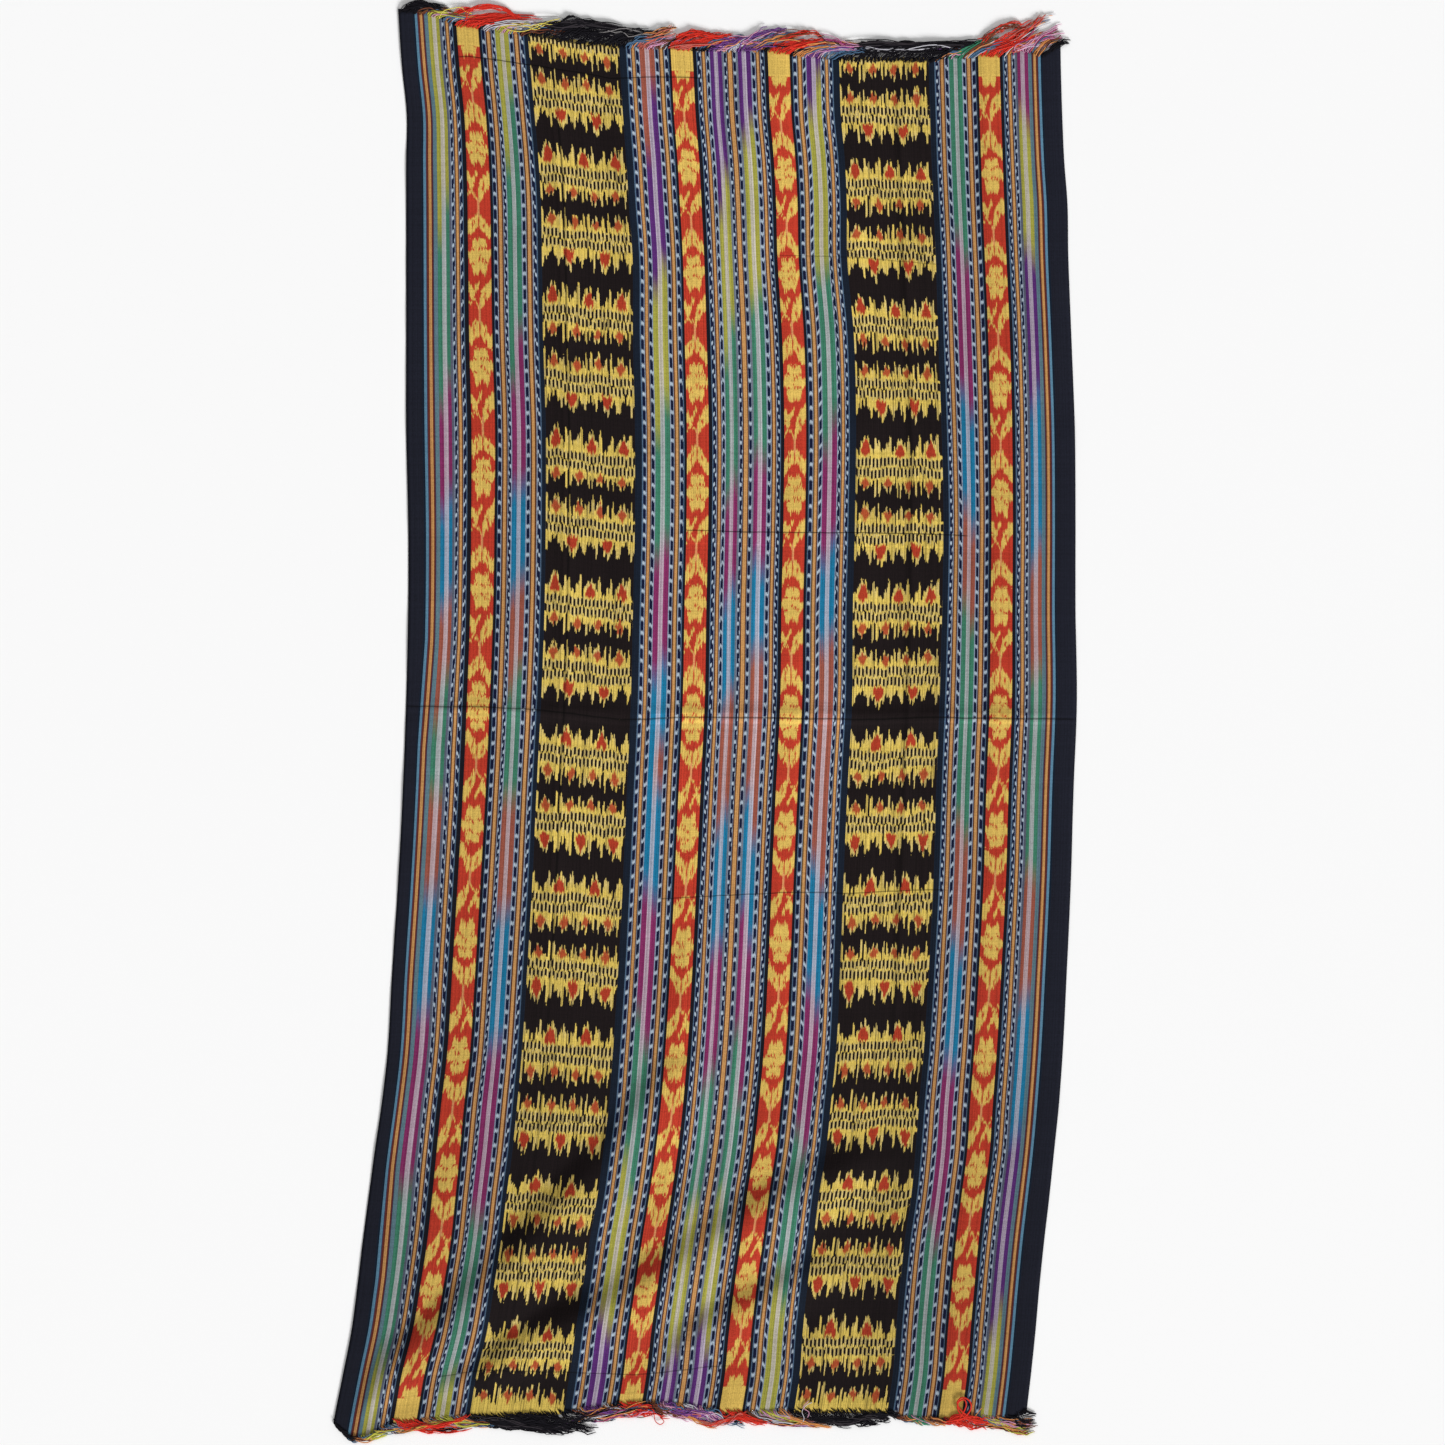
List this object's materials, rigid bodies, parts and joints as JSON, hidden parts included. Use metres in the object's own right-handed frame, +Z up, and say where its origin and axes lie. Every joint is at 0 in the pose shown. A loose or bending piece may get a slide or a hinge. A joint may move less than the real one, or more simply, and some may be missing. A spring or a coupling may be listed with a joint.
{
  "type": "ikat cloth",
  "caption": "Long handwoven warp-ikat cloth lying flat, lengthwise stripes with tied-dyed figures, soft folds and short cut fringe at both ends.",
  "frame": {"origin": "middle of the whole footprint, on the floor under the cloth", "axes": "+Y up the warp to the upper end, +X to the right across the stripes, +Z up out of the shown face"},
  "size_m": [1.115, 2.1734, 0.0112],
  "materials": {
    "woven_cotton": "matt warp-faced plain weave, striped and tie-dyed in black, yellow, red, orange, blue and green",
    "fringe_yarn": "matt loose warp yarn, each length coloured as its stripe"
  },
  "bodies": {
    "root": {"cloth": "woven_cotton", "fringe_top": "fringe_yarn", "fringe_bottom": "fringe_yarn"}
  },
  "joints": []
}
